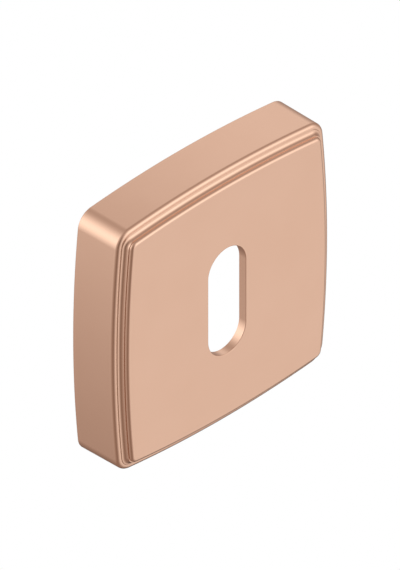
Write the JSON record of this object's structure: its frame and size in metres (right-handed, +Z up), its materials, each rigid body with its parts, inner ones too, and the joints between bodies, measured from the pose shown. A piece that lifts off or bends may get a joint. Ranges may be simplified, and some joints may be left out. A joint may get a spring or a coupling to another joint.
{
  "type": "keyhole escutcheon",
  "caption": "Square key hole cover with bowed sides, a stepped and coved edge moulding, an upright key slot and a hollow back.",
  "frame": {"origin": "centre of the back plane, which lies on the door, behind the middle of the key slot", "axes": "+X to the right and +Z up as the door is seen from the front, +Y into the door, so the face looks along -Y"},
  "size_m": [0.052, 0.011, 0.052],
  "materials": {
    "satin_copper": "satin copper plating, finely brushed and lacquered"
  },
  "bodies": {
    "root": {"escutcheon_cover": "satin_copper"}
  },
  "joints": []
}
